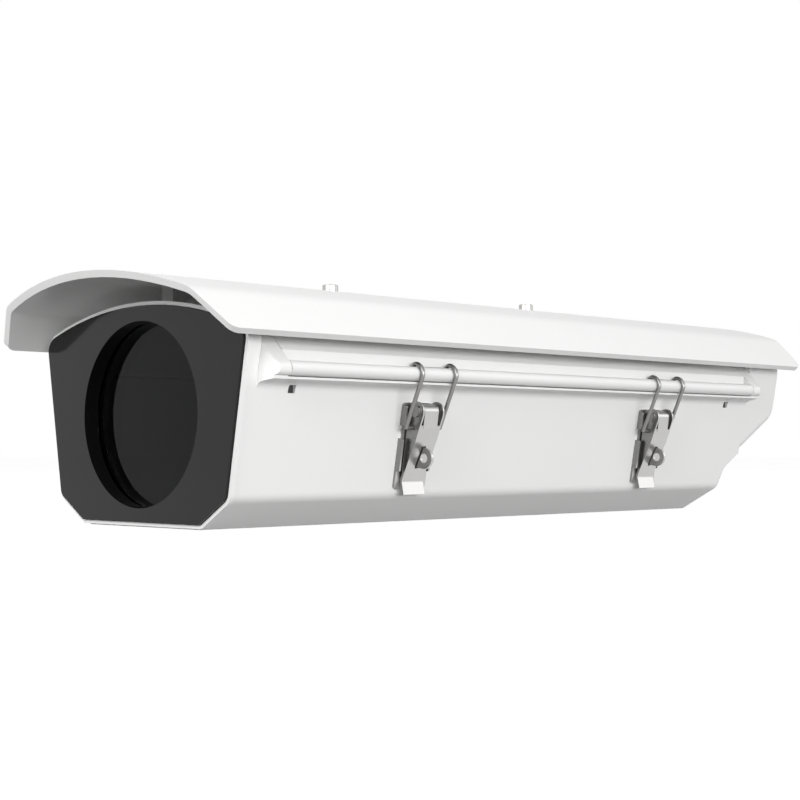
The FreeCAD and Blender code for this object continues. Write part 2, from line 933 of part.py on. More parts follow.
def front_cutter():
    """Cutter that rakes the front edge of the shield."""
    reach = 2 * (shield_crown - shield_lip_z)
    shift = reach * math.tan(math.radians(shield_rake))
    points = [
        (-far, shield_lip_z - reach, 0),
        (shield_lip_front + shift, shield_lip_z - reach, 0),
        (shield_lip_front - shift, shield_lip_z + reach, 0),
        (-far, shield_lip_z + reach, 0),
    ]
    return side_prism(outline(points), far)


def sunshield():
    """Bent sheet over the whole housing, raked at the front."""
    lip_z = shield_slope_sum - shield_lip_x
    drop = shield_t * 3
    side = [
        (0, lip_z - drop, 0),
        (shield_lip_x - drop, lip_z - drop, 0),
        (shield_lip_x, lip_z, 0),
        (shield_lip_x - drop, lip_z + drop, 0),
    ]
    outer = prism(arch_face(side, shield_crown, shield_round), shield_front - wall, shield_rear)
    sheet = outer.cut([shield_under(), front_cutter()])
    tips = []
    for edge in sheet.Edges:
        box = edge.BoundBox
        short = edge.Length < shield_t * sheet_edge_slack
        low = box.ZMax < lip_z + tiny
        if short and low:
            tips.append(edge)
    sheet = sheet.makeFillet(shield_tip_round, tips)
    holes = [rod_z(shield_screw_r + running_fit, 0, far, 0, station) for station in shield_screw_stations]
    return sheet.cut(holes)


def shield_spacers():
    """Tubes between the lid and the shield, shaped to both."""
    side = shoulder(lid_wall_x, shoulder_sum, bead_z - bead_r)
    lid_top = prism(arch_face(side, lid_crown, lid_round), 0, far * 2)
    tubes = []
    for station in shield_screw_stations:
        tube = rod_z(spacer_r, lid_crown - wall, shield_crown, 0, station)
        tube = tube.cut([lid_top, rod_z(shield_screw_r + running_fit, 0, far, 0, station)])
        tubes.append(tube.common(shield_under()))
    return Part.makeCompound(tubes)


def shield_washers():
    """Flat washers under the shield screws."""
    rings = []
    for station in shield_screw_stations:
        ring = rod_z(shield_washer_r, shield_crown, shield_crown + shield_washer, 0, station)
        rings.append(ring.cut(rod_z(shield_screw_r + running_fit, 0, far, 0, station)))
    return Part.makeCompound(rings)


def shield_screws():
    """Socket cap screws through the shield and the spacers into the lid."""
    screws = []
    head_low = shield_crown + shield_washer
    tip = lid_crown - lid_wall - shield_screw_reach + 2 * lid_boss_skin
    for station in shield_screw_stations:
        shank = rod_z(shield_screw_r - close_fit, tip, head_low, 0, station)
        head = rod_z(shield_screw_head_r, head_low, head_low + shield_screw_head, 0, station)
        rim = [edge for edge in head.Edges if edge.Closed and edge.BoundBox.ZMin > head_low + tiny]
        head = head.makeFillet(shield_screw_edge, rim)
        top = head_low + shield_screw_head
        socket = hexagon(2 * shield_screw_socket_r, top - shield_screw_socket, top + wall)
        socket.translate(Vector(0, station, 0))
        screws.append(shank.fuse(head).cut(socket).removeSplitter())
    return Part.makeCompound(screws)


def shield_buffer():
    """Rubber block under the front of the shield."""
    pad = block(-buffer_half, buffer_half, buffer_front, buffer_front + buffer_length,
                lid_crown + buffer_gap, shield_crown)
    return pad.common(shield_under())


# Side latches, built with X out from the wall, Y along the part and Z up along the wall

def on_wall(solid, station):
    """Place a latch piece on the leaning side wall."""
    placed = solid.copy()
    placed.rotate(zero, axis_y, side_lean)
    placed.translate(Vector(latch_root_x, station, latch_root_z))
    return placed


def wall_point(out, up):
    """Place in the section plane of a point given out from the wall and up along it."""
    lean = math.radians(side_lean)
    x = latch_root_x + out * math.cos(lean) + up * math.sin(lean)
    z = latch_root_z - out * math.sin(lean) + up * math.cos(lean)
    return x, z


def pair(solid_face, inner, thickness):
    """Two like plates on both sides of the latch's middle."""
    return [prism(solid_face, inner, inner + thickness), prism(solid_face, -inner - thickness, -inner)]


def latch_base():
    """Pressed base plate with side flanges, two ears for the pivot and an eye for a padlock."""
    right = [
        (base_half, base_bottom, base_corner),
        (base_half, base_notch_low, 0),
        (base_half - base_notch_depth, base_notch_low, 0),
        (base_half - base_notch_depth, base_notch_high, 0),
        (base_half, base_notch_high, 0),
        (base_half, base_top, base_corner),
    ]
    left = [(-x, z, radius) for x, z, radius in reversed(right)]
    plate = prism(outline(right + left), 0, base_t)
    plate.rotate(zero, axis_z, -quarter_turn)
    ear = outline([
        (base_t / 2, ear_low, 0),
        (ear_low_out, ear_low, base_t / 2),
        (ear_out, ear_knee, base_t),
        (ear_out, base_top, 2 * base_t),
        (base_t / 2, base_top, 0),
    ])
    eye = outline([
        (base_t / 2, eye_up - eye_r, 0),
        (eye_out + eye_r, eye_up - eye_r, eye_r),
        (eye_out + eye_r, eye_up + eye_r, eye_r),
        (base_t / 2, eye_up + eye_r, 0),
    ])
    tab = prism(eye, -eye_t / 2, eye_t / 2)
    flanges = []
    for low, high in ((base_flange_low, base_notch_low), (base_notch_high, base_top - base_corner)):
        strip = outline([
            (base_t / 2, low, 0),
            (base_flange_out, low, base_flange_t),
            (base_flange_out, high, base_flange_t),
            (base_t / 2, high, 0),
        ])
        flanges += pair(strip, base_half - base_flange_t, base_flange_t)
    whole = joined([plate, tab] + flanges + pair(ear, ear_inner, ear_t))
    holes = [
        rod_y(eye_hole_r, -far, far, eye_out, eye_up),
        rod_y(latch_pin_r + close_fit, -far, far, pivot_out, pivot_up),
    ]
    holes += [rivet_bore(up) for up in rivet_ups]
    return whole.cut(holes)


def rivet_bore(up):
    """Hole for one rivet, through the base and the wall."""
    return Part.makeCylinder(rivet_r + close_fit, wall * 4, Vector(-wall * 2, 0, up), axis_x)


def rivet_holes():
    """Rivet holes in the housing wall."""
    return [on_wall(rivet_bore(up), station) for station in latch_stations for up in rivet_ups]


def latch_rivets():
    """Low-headed rivets that hold the latch bases."""
    rivets = []
    for station in latch_stations:
        for up in rivet_ups:
            shank = Part.makeCylinder(rivet_r, wall + base_t, Vector(-wall, 0, up), axis_x)
            head = Part.makeCone(rivet_head_r, rivet_r, rivet_head, Vector(base_t, 0, up), axis_x)
            tail = Part.makeCone(rivet_head_r, rivet_r, rivet_head, Vector(-wall, 0, up), -axis_x)
            rivets.append(on_wall(joined([shank, head, tail]), station))
    return Part.makeCompound(rivets)


def latch_pin():
    """Headed pivot pin of the lever."""
    out = cheek_inner + cheek_t + running_fit
    pin = rod_y(latch_pin_r, -out, out, pivot_out, pivot_up)
    near = rod_y(latch_pin_head_r, out, out + latch_pin_head, pivot_out, pivot_up)
    other = rod_y(latch_pin_head_r, -out - latch_pin_head, -out, pivot_out, pivot_up)
    return joined([pin, near, other])


def latch_lever():
    """Pressed lever: a bowed face, two cheeks, a curl round the pivot and a slot for the eye."""
    cheek_out = cheek_inner + cheek_t
    top_r = pivot_out - cheek_back
    curl_r = latch_pin_r + running_fit + sheet_t
    outer = [
        (face_tip_out, face_tip_up, 0),
        (face_low_out, face_low_up, tip_bend_r),
        (face_mid_out, face_mid_up, face_bend_r),
        (face_high_out, face_high_up, face_bend_r),
        (face_top_out, face_top_up, 0),
    ]
    inner = inset(outer, sheet_t)
    face = prism(outline(outer + inner[::-1]), -cheek_out, cheek_out)
    neck_out = pivot_out + curl_r
    neck = outline([
        (face_top_out, face_top_up - sheet_t, 0),
        (neck_out, pivot_up, 0),
        (neck_out - sheet_t, pivot_up, 0),
        (face_top_out - sheet_t, face_top_up - sheet_t, 0),
    ])
    curl = rod_y(curl_r, -curl_half, curl_half, pivot_out, pivot_up)
    cheek = outline([
        (cheek_back, cheek_low, 0),
        (face_low_out + sheet_t / 2, face_low_up + 2 * sheet_t, 0),
        (face_mid_out, face_mid_up, face_bend_r),
        (face_high_out, face_high_up, face_bend_r),
        (face_top_out, face_top_up, 2 * sheet_t),
        (pivot_out + top_r, pivot_up - sheet_t, 0),
        (pivot_out + top_r, pivot_up + top_r, top_r),
        (cheek_back, pivot_up + top_r, top_r),
    ])
    whole = joined([face, prism(neck, -curl_half, curl_half), curl] + pair(cheek, cheek_inner, cheek_t))
    slot_low = eye_up - eye_r - slot_margin
    slot_high = eye_up + eye_r + slot_margin
    seam = block(pivot_out - curl_r, pivot_out, -curl_half, curl_half, pivot_up - curl_r, pivot_up)
    return whole.cut([
        rod_y(latch_pin_r + running_fit, -far, far, pivot_out, pivot_up),
        rod_y(wire_r + running_fit, -far, far, bail_out, bail_up),
        block(0, far, -slot_half, slot_half, slot_low, slot_high),
        seam.common(rod_y(curl_r + wall, -far, far, pivot_out, pivot_up - curl_open)),
    ])


def bend(radius, centre_x, centre_z, start, sweep):
    """Bent piece of wire about a line along Y: angles in degrees from +X towards +Z."""
    ring_start = Vector(centre_x + radius, 0, centre_z)
    circle = Part.Circle(ring_start, axis_z, wire_r).toShape()
    disc = Part.Face(Part.Wire(circle))
    centre = Vector(centre_x, 0, centre_z)
    solid = disc.revolve(centre, -axis_y, sweep)
    solid.rotate(centre, -axis_y, start)
    return solid


def latch_bail():
    """Wire bail that hooks over the lid's bead."""
    foot_x, foot_z = wall_point(bail_out, bail_up)
    run_x = bead_x - foot_x
    run_z = bead_z - foot_z
    gap = math.hypot(run_x, run_z)
    heading = math.atan2(run_z, run_x) - math.asin(hook_r / gap)
    length = math.sqrt(gap * gap - hook_r * hook_r)
    start = math.degrees(heading) - quarter_turn
    direction = Vector(math.cos(heading), 0, math.sin(heading))
    solids = [rod_y(wire_r, -bail_half, bail_half, crossbar_x, crossbar_z)]
    for side in (-1, 1):
        leg = Part.makeCylinder(wire_r, length, Vector(foot_x, 0, foot_z), direction)
        over = bend(hook_r, bead_x, bead_z, start, quarter_turn - start)
        drop = bend(hook_drop, bead_x, crossbar_z, quarter_turn, quarter_turn)
        knee = Part.makeSphere(wire_r, Vector(foot_x, 0, foot_z))
        elbow = Part.makeSphere(wire_r, Vector(crossbar_x, 0, crossbar_z))
        for solid in (leg, over, drop, knee, elbow):
            solid.translate(Vector(0, side * bail_half, 0))
            solids.append(solid)
        near = min(side * bail_half, side * cheek_inner)
        away = max(side * bail_half, side * cheek_inner)
        solids.append(rod_y(wire_r, near, away, foot_x, foot_z))
    return joined(solids)


# Cable glands, built with Z out from the slope

def gland_frame(solid, side):
    """Place a gland piece on the rear slope."""
    placed = solid.copy()
    placed.rotate(zero, axis_x, half_turn + tail_slope)
    placed.translate(Vector(side * gland_x, gland_y, slope_point(gland_y)))
    return placed


def gland_body():
    """Threaded body with a hexagonal flange."""
    stem = rod_z(gland_thread_r, -gland_stem, 0, 0, 0)
    flange = hexagon(gland_flats, 0, gland_flange)
    neck = rod_z(gland_neck_r, gland_flange, gland_flange + gland_neck, 0, 0)
    return joined([stem, flange, neck]).cut(rod_z(gland_bore_r, -far, far, 0, 0))


def gland_nut():
    """Domed cap nut with a hexagonal foot."""
    low = gland_flange + gland_nut_gap
    knee = low + gland_nut_hex
    top = knee + gland_nut_dome
    foot = hexagon(gland_flats, low, knee)
    lip_r = gland_mouth_r + gland_nut_wall
    dome = Part.makeCone(gland_flats / 2, lip_r, gland_nut_dome, Vector(0, 0, knee))
    bore = rod_z(gland_neck_r + close_fit, 0, gland_flange + gland_neck + gland_nut_gap, 0, 0)
    mouth = rod_z(gland_mouth_r, 0, top + wall, 0, 0)
    return joined([foot, dome]).cut([bore, mouth])


def gland_seal():
    """Rubber sleeve between the body, the nut and the plug."""
    low = gland_flange
    high = gland_flange + gland_neck + gland_nut_gap
    sleeve = rod_z(gland_bore_r - close_fit, low, high, 0, 0)
    return sleeve.cut(rod_z(gland_plug_r + close_fit, 0, far, 0, 0))


def gland_plug():
    """Blanking plug, as such housings are supplied."""
    top = gland_flange + gland_nut_gap + gland_nut_hex + gland_nut_dome + gland_plug_out
    pin = rod_z(gland_plug_r, gland_plug_depth, top, 0, 0)
    rim = [edge for edge in pin.Edges if edge.Closed and edge.BoundBox.ZMin > top - tiny]
    return pin.makeFillet(gland_plug_round, rim)


def gland_locknuts():
    """Flat nuts that hold the glands from inside."""
    nuts = []
    for side in (-1, 1):
        nut = hexagon(locknut_flats, -wall - locknut_t, -wall)
        nuts.append(gland_frame(nut.cut(rod_z(gland_thread_r + close_fit, -far, 0, 0, 0)), side))
    return Part.makeCompound(nuts)


# Inside

def camera_tray():
    """Slotted plate that carries the camera."""
    plate = block(-tray_half, tray_half, tray_front, tray_back, tray_z, tray_z + tray_t)
    corners = [edge for edge in plate.Edges if edge.BoundBox.ZLength > tray_t / 2]
    plate = plate.makeFillet(tray_corner, corners)
    back = tray_slot_front + tray_slot_length
    slot = block(-tray_slot_half, tray_slot_half, tray_slot_front, back, 0, far)
    ends = [rod_z(tray_slot_half, 0, far, 0, y) for y in (tray_slot_front, back)]
    holes = [rod_z(tray_screw_r + close_fit, 0, far, x, y) for x, y in tray_places()]
    return plate.cut([slot] + ends + holes)


def tray_standoffs():
    """Round pillars between the floor and the tray."""
    pillars = []
    for x, y in tray_places():
        pillar = rod_z(pillar_r, wall, tray_z, x, y)
        pillars.append(pillar.cut(rod_z(tray_screw_r, 0, far, x, y)))
    return Part.makeCompound(pillars)


def tray_screws():
    """Screws through the tray and its pillars into the floor."""
    screws = []
    length = tray_z + tray_t - blind_floor - tip_gap
    for x, y in tray_places():
        screw = pan_screw(tray_screw_r - close_fit, length, tray_screw_head_r, tray_screw_head)
        screw.translate(Vector(x, y, tray_z + tray_t))
        screws.append(screw)
    return Part.makeCompound(screws)


def camera_screw():
    """Thumb screw from below the tray, for the camera's tripod thread."""
    top = tray_z + tray_t + camera_screw_rise
    thread = rod_z(camera_screw_r, tray_z - camera_knob, top, 0, camera_screw_y)
    knob = rod_z(camera_knob_r, tray_z - camera_knob, tray_z, 0, camera_screw_y)
    grooves = []
    for step in range(camera_knob_grooves):
        turn = 2 * math.pi * step / camera_knob_grooves
        x = camera_knob_r * math.cos(turn)
        y = camera_screw_y + camera_knob_r * math.sin(turn)
        grooves.append(rod_z(camera_knob_groove_r, 0, tray_z + wall, x, y))
    knob = knob.cut(grooves)
    return joined([thread, knob])


def terminal_board():
    """Small circuit board on four posts."""
    board_back = board_front + board_length
    plate = block(-board_half, board_half, board_front, board_back, board_z, board_z + board_t)
    return plate.cut([rod_z(board_screw_r + close_fit, 0, far, x, y) for x, y in board_places()])


def terminal_block():
    """Screw terminal strip, one cell for each way."""
    half = block_ways * block_pitch / 2
    low = board_z + board_t
    middle = board_front + board_length / 2
    body = block(-half, half, middle - block_depth / 2, middle + block_depth / 2, low, low + block_height)
    holes = []
    for way in range(block_ways):
        x = -half + (way + 0.5) * block_pitch
        holes.append(rod_y(block_wire_r, middle, middle + block_depth, x, low + block_wire_rise))
        holes.append(rod_z(block_driver_r, low + block_height - block_driver_depth, low + 2 * block_height,
                           x, middle - block_driver_shift))
    return body.cut(holes)


def board_screws():
    """Screws that hold the board on its posts."""
    screws = []
    length = board_z + board_t - 2 * wall
    for x, y in board_places():
        screw = pan_screw(board_screw_r - close_fit, length, board_screw_head_r, board_screw_head)
        screw.translate(Vector(x, y, board_z + board_t))
        screws.append(screw)
    return Part.makeCompound(screws)


def earth_screw():
    """Earthing screw on its boss."""
    screw = pan_screw(earth_screw_r - close_fit, wall, earth_head_r, earth_head)
    screw.translate(Vector(earth_x, earth_y, earth_boss_z))
    return screw


# Export

def export(name, shape):
    """Write one named piece, with the origin in the middle of the whole part."""
    placed = shape.copy()
    placed.translate(Vector(0, -middle_y, 0))
    placed.exportStep("parts/" + name + ".step")


def main():
    """Build and write every piece."""
    os.makedirs("parts", exist_ok=True)
    export("lower_housing", lower_housing())
    export("front_bezel", front_bezel())
    export("window_glass", window_glass())
    export("window_gasket", window_gasket())
    export("bezel_screws", bezel_screws())
    export("lid_cover", lid_cover())
    export("lid_gasket", lid_gasket())
    export("sunshield", sunshield())
    export("shield_spacers", shield_spacers())
    export("shield_screws", shield_screws())
    export("shield_washers", shield_washers())
    export("shield_buffer", shield_buffer())
    export("camera_tray", camera_tray())
    export("tray_standoffs", tray_standoffs())
    export("tray_screws", tray_screws())
    export("camera_screw", camera_screw())
    export("terminal_board", terminal_board())
    export("terminal_block", terminal_block())
    export("board_screws", board_screws())
    export("earth_screw", earth_screw())
    export("gland_locknuts", gland_locknuts())
    export("latch_rivets", latch_rivets())
    for label, side in (("left", -1), ("right", 1)):
        export(label + "_gland_body", gland_frame(gland_body(), side))
        export(label + "_gland_seal", gland_frame(gland_seal(), side))
        export(label + "_gland_nut", gland_frame(gland_nut(), side))
        export(label + "_gland_plug", gland_frame(gland_plug(), side))
    base = latch_base()
    pin = latch_pin()
    lever = latch_lever()
    bail = latch_bail()
    for label, station, hinge_pin in zip(("front", "rear"), latch_stations, hinge_pins()):
        export(label + "_hinge_pin", hinge_pin)
        export(label + "_latch_base", on_wall(base, station))
        export(label + "_latch_pin", on_wall(pin, station))
        export(label + "_latch_lever", on_wall(lever, station))
        placed = bail.copy()
        placed.translate(Vector(0, station, 0))
        export(label + "_latch_bail", placed)


main()
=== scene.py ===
"""Looks of a side-opening camera housing, laid out as a Blender add-on and run as a script."""

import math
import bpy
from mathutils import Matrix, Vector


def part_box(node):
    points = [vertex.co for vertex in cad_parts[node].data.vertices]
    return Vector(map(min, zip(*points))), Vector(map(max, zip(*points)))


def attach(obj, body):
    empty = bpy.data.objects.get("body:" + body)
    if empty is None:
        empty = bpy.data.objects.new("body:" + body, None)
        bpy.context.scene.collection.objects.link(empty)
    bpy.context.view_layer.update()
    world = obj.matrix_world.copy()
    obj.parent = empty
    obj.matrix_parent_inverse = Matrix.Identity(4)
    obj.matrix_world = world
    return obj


bl_info = {
    "name": "Camera Housing Looks",
    "version": (1, 0, 0),
    "blender": (4, 5, 0),
    "location": "3D View > Sidebar > Housing",
    "description": "Finishes and small parts of a weatherproof camera housing",
    "category": "Object",
}

import bmesh
import bpy
from mathutils import Matrix, Vector

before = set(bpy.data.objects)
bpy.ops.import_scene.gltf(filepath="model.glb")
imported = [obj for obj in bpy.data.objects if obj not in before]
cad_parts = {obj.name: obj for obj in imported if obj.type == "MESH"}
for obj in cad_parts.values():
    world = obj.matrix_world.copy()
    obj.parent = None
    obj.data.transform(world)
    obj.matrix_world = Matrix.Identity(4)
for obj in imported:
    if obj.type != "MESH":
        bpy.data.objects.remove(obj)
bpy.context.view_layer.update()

MM = 0.001

# Most of a noise node's values lie between these two
NOISE_LOW = 0.3
NOISE_HIGH = 0.7

# Fine grain and slow clouds that every finish shares
FINE_ROUGHNESS = 0.6
CLOUD_DETAIL = 2.0
FINE_SHARE = 0.5
TONE_SWING = 0.5
GLOSS_SWING = 2.0
# Painted shade on the latch steel's sides that face along Y: how closely it follows the facing, and how
# dark it goes
SIDE_SHADE_SHARPNESS = 4.0
SIDE_PAINTED_SHADE = 0.5
RELIEF = 0.05 * MM
COAT_ROUGHNESS = 0.06

# How each kind of grain is stretched along the axes
EVEN = (1.0, 1.0, 1.0)
LONG_ACROSS = (0.04, 1.0, 0.04)
LONG_UPRIGHT = (1.0, 1.0, 0.03)

# Thread of the camera screw: a ridge's width is a share of the pitch, its crest a share of its width
THREAD_RADIUS = 3.1 * MM
RIDGE_WIDTH = 0.8
RIDGE_CREST = 1 / 3
RIDGE_STEPS = 40

# Terminal strip, as the CAD part has it, and the screws in its wells
TERMINAL_WAYS = 6
WELL_DEPTH = 4.0 * MM
WELL_SHIFT = 2.4 * MM
SCREW_HEIGHT = 2.8 * MM
SCREW_SIDES = 28
SCREW_TAPER = 0.9
SCREW_RIM = 0.25
SCREW_DISH = 0.2
SAME_HEIGHT = 0.01 * MM

# Solder pads, and the black blocks that paint shade in the side pockets
PAD_INSET = 3.0 * MM
PAD_SIDES = 18
PAD_RINGS = 10
PAD_FLATNESS = 0.5
SHADE_BLOCK_BEVEL = 0.06
SHADE_BLOCK_BEVEL_STEPS = 2

# Floor and camera
FLOOR_DROP = 0.05 * MM
FLOOR_GLOW_SHARE = 0.9
FLOOR_PALE = (0.9, 0.9, 0.9, 1.0)
WHITE = (1.0, 1.0, 1.0, 1.0)
SENSOR_WIDTH = 36.0
NEAR_LIMIT = 0.01


# Properties

def colour_property(name, description, default):
    """A colour that a user can change."""
    return bpy.props.FloatVectorProperty(
        name=name, description=description, subtype="COLOR", size=3, min=0.0, max=1.0, default=default)


def length_property(name, description, default):
    """A length in metres that a user can change."""
    return bpy.props.FloatProperty(
        name=name, description=description, unit="LENGTH", default=default, precision=5)


def share_property(name, description, default):
    """A share between 0 and 1 that a user can change."""
    return bpy.props.FloatProperty(name=name, description=description, min=0.0, max=1.0, default=default)


def power_property(name, description, default):
    """A lamp's power in watts that a user can change."""
    return bpy.props.FloatProperty(
        name=name, description=description, unit="POWER", min=0.0, default=default)


def angle_property(name, description, degrees):
    """An angle that a user can change."""
    return bpy.props.FloatProperty(
        name=name, description=description, subtype="ANGLE", default=math.radians(degrees))


class HousingFinish(bpy.types.PropertyGroup):
    """Colours and gloss of the housing."""
    paint: colour_property("Paint", "Powder coat of the casting and the lid", (0.86, 0.86, 0.855))
    shield_paint: colour_property("Shield paint", "Powder coat of the sunshield", (0.87, 0.87, 0.865))
    paint_roughness: share_property("Paint roughness", "Roughness of the powder coat", 0.42)
    plate: colour_property("Front plate", "Gloss plate round the window", (0.004, 0.004, 0.0042))
    # The glass is clear in itself; its dark tint is painted shade for the unlit inside of the housing
    glass: colour_property("Window", "Tint of the window glass", (0.08, 0.083, 0.083))
    # Also colours the black blocks that paint shade in the side pockets
    rubber: colour_property("Rubber", "Seals and plugs", (0.018, 0.018, 0.018))
    buffer: colour_property("Buffer", "Rubber block under the shield", (0.62, 0.62, 0.62))
    steel: colour_property("Stainless sheet", "Latch bases and levers", (0.54, 0.536, 0.53))
    wire: colour_property("Stainless wire", "Latch bails", (0.26, 0.257, 0.253))
    screw: colour_property("Screws", "Stainless screws and washers", (0.50, 0.49, 0.475))
    brass: colour_property("Brass", "Earth screw", (0.70, 0.50, 0.20))
    tray: colour_property("Tray", "Bare aluminium sheet", (0.72, 0.73, 0.74))
    board: colour_property("Board", "Circuit board laminate", (0.03, 0.17, 0.075))
    terminal: colour_property("Terminals", "Terminal strip", (0.05, 0.25, 0.12))
    gland: colour_property("Glands", "Moulded cable glands", (0.17, 0.175, 0.18))


class HousingSizes(bpy.types.PropertyGroup):
    """Sizes of the small parts that the finish adds."""
    joint_gap: length_property("Joint gap", "How far added parts stand off what carries them", 0.02 * MM)
    thread_pitch: length_property("Thread pitch", "Distance between two thread ridges", 1.5 * MM)
    thread_height: length_property("Thread height", "How far a ridge stands out", 0.35 * MM)
    terminal_screw_radius: length_property("Terminal screw", "Radius of a terminal screw's head", 1.7 * MM)
    pad_radius: length_property("Solder pad", "Radius of a solder pad on the board", 1.1 * MM)
    pocket_inset_front: length_property("Front pocket", "From the lid's front end to the pocket", 10.2 * MM)
    pocket_inset_rear: length_property("Rear pocket", "From the lid's rear end to the pocket", 11.6 * MM)
    pocket_low: length_property("Pocket height", "Bottom edge of the side pockets", 59.0 * MM)
    pocket_width: length_property("Pocket width", "Width of a side pocket", 4.0 * MM)
    pocket_tall: length_property("Pocket opening", "Height of a side pocket's opening", 3.5 * MM)
    pocket_floor: length_property("Pocket floor", "From the middle to the pockets' floor", 64.387 * MM)
    # Black block that paints the shade of a deep side pocket
    shade_block_length: length_property("Pocket shade block", "Length of the black block that paints shade in a pocket", 4.1 * MM)


class HousingStudio(bpy.types.PropertyGroup):
    """Camera and light."""
    camera_x: length_property("Camera X", "Camera place across", 0.58676)
    camera_y: length_property("Camera Y", "Camera place along", -0.63082)
    camera_z: length_property("Camera Z", "Camera height", 0.03470)
    pitch: angle_property("Pitch", "Upward tilt of the camera", 1.766)
    turn: angle_property("Turn", "Turn of the camera about Z", 44.293)
    lens: bpy.props.FloatProperty(
        name="Lens", description="Focal length in millimetres", unit="CAMERA", default=72.34)
    floor_half: length_property("Floor", "Half the floor's width", 6.0)
    floor_tone: share_property("Floor tone", "How bright the floor is for soft light", 0.20)
    floor_glow: bpy.props.FloatProperty(
        name="Floor glow", description="How white the floor looks", min=0.0, default=1.06)
    sky: share_property("Sky", "Strength of the soft light from all round", 0.33)
    key: power_property("Key", "Strength of the lamp at the latch side", 16.0)
    front: power_property("Front", "Strength of the lamp before the window", 22.0)
    rear: power_property("Rear", "Strength of the lamp that glints on the latches", 2.0)
    fill: power_property("Fill", "Strength of the lamp at the hinge side", 10.0)
    top: power_property("Top", "Strength of the lamp above", 1.0)


# Node helpers

def new_group(name, inputs, outputs):
    """Empty shader node group with float and colour sockets."""
    group = bpy.data.node_groups.new(name, "ShaderNodeTree")
    for label, kind, default in inputs:
        socket = group.interface.new_socket(name=label, in_out="INPUT", socket_type=kind)
        socket.default_value = default
    for label, kind in outputs:
        group.interface.new_socket(name=label, in_out="OUTPUT", socket_type=kind)
    source = group.nodes.new("NodeGroupInput")
    target = group.nodes.new("NodeGroupOutput")
    return group, source, target


def noise(tree, vector, scale, detail, roughness=0.5):
    """Noise texture node, with a socket or a number as its scale."""
    node = tree.nodes.new("ShaderNodeTexNoise")
    node.inputs["Detail"].default_value = detail
    node.inputs["Roughness"].default_value = roughness
    tree.links.new(vector, node.inputs["Vector"])
    if hasattr(scale, "links"):
        tree.links.new(scale, node.inputs["Scale"])
    else:
        node.inputs["Scale"].default_value = scale
    return node.outputs["Fac"]


def spread(tree, value, low, high):
    """Noise mapped to a range."""
    node = tree.nodes.new("ShaderNodeMapRange")
    node.inputs["From Min"].default_value = NOISE_LOW
    node.inputs["From Max"].default_value = NOISE_HIGH
    node.inputs["To Min"].default_value = low
    node.inputs["To Max"].default_value = high
    tree.links.new(value, node.inputs["Value"])
    return node.outputs["Result"]


def maths(tree, operation, first, second):
    """Maths node on two sockets or numbers."""
    node = tree.nodes.new("ShaderNodeMath")
    node.operation = operation
    for index, value in enumerate((first, second)):
        if hasattr(value, "links"):
            tree.links.new(value, node.inputs[index])
        else:
            node.inputs[index].default_value = value
    return node.outputs["Value"]


def shade(tree, colour, factor):
    """Colour times a factor."""
    node = tree.nodes.new("ShaderNodeMix")
    node.data_type = "RGBA"
    node.blend_type = "MULTIPLY"
    node.inputs["Factor"].default_value = 1.0
    tree.links.new(colour, node.inputs["A"])
    tree.links.new(factor, node.inputs["B"])
    return node.outputs["Result"]


def object_points(tree, stretch=EVEN):
    """Object coordinates, stretched along the axes."""
    coordinates = tree.nodes.new("ShaderNodeTexCoord")
    mapping = tree.nodes.new("ShaderNodeMapping")
    mapping.inputs["Scale"].default_value = stretch
    tree.links.new(coordinates.outputs["Object"], mapping.inputs["Vector"])
    return mapping.outputs["Vector"]


SURFACE_INPUTS = (
    ("Colour", "NodeSocketColor", (0.8, 0.8, 0.8, 1.0)),
    ("Roughness", "NodeSocketFloat", 0.5),
    ("Grain", "NodeSocketFloat", 500.0),
    ("Variation", "NodeSocketFloat", 0.05),
)
SURFACE_OUTPUTS = (
    ("Colour", "NodeSocketColor"),
    ("Roughness", "NodeSocketFloat"),
    ("Height", "NodeSocketFloat"),
)


def painted_side_shade(tree, shade_strength):
    """Factor that darkens the folded sides, which face along Y, as painted shade."""
    coordinates = tree.nodes.new("ShaderNodeTexCoord")
    parts = tree.nodes.new("ShaderNodeSeparateXYZ")
    tree.links.new(coordinates.outputs["Normal"], parts.inputs["Vector"])
    facing = maths(tree, "POWER", maths(tree, "ABSOLUTE", parts.outputs["Y"], 0.0), SIDE_SHADE_SHARPNESS)
    return maths(tree, "SUBTRACT", 1.0, maths(tree, "MULTIPLY", facing, shade_strength))


def grain_group(name, stretch, cloud_scale, detail, side_painted_shade=0.0):
    """Group for one kind of surface: fine grain, slow clouds in tone and gloss, and where asked painted
    shade on the sides that face along Y.
    """
    tree, source, target = new_group(name, SURFACE_INPUTS, SURFACE_OUTPUTS)
    fine = noise(tree, object_points(tree, stretch), source.outputs["Grain"], detail, FINE_ROUGHNESS)
    cloud = noise(tree, object_points(tree), cloud_scale, CLOUD_DETAIL)
    fine_part = maths(tree, "MULTIPLY", fine, FINE_SHARE)
    cloud_part = maths(tree, "MULTIPLY", cloud, 1.0 - FINE_SHARE)
    mixed = maths(tree, "ADD", fine_part, cloud_part)
    swing = spread(tree, mixed, -TONE_SWING, TONE_SWING)
    change = maths(tree, "MULTIPLY", swing, source.outputs["Variation"])
    tone = maths(tree, "ADD", change, 1.0)
    if side_painted_shade:
        tone = maths(tree, "MULTIPLY", tone, painted_side_shade(tree, side_painted_shade))
    gloss = maths(tree, "ADD", maths(tree, "MULTIPLY", change, GLOSS_SWING), 1.0)
    tree.links.new(shade(tree, source.outputs["Colour"], tone), target.inputs["Colour"])
    tree.links.new(maths(tree, "MULTIPLY", source.outputs["Roughness"], gloss), target.inputs["Roughness"])
    tree.links.new(fine, target.inputs["Height"])
    return tree


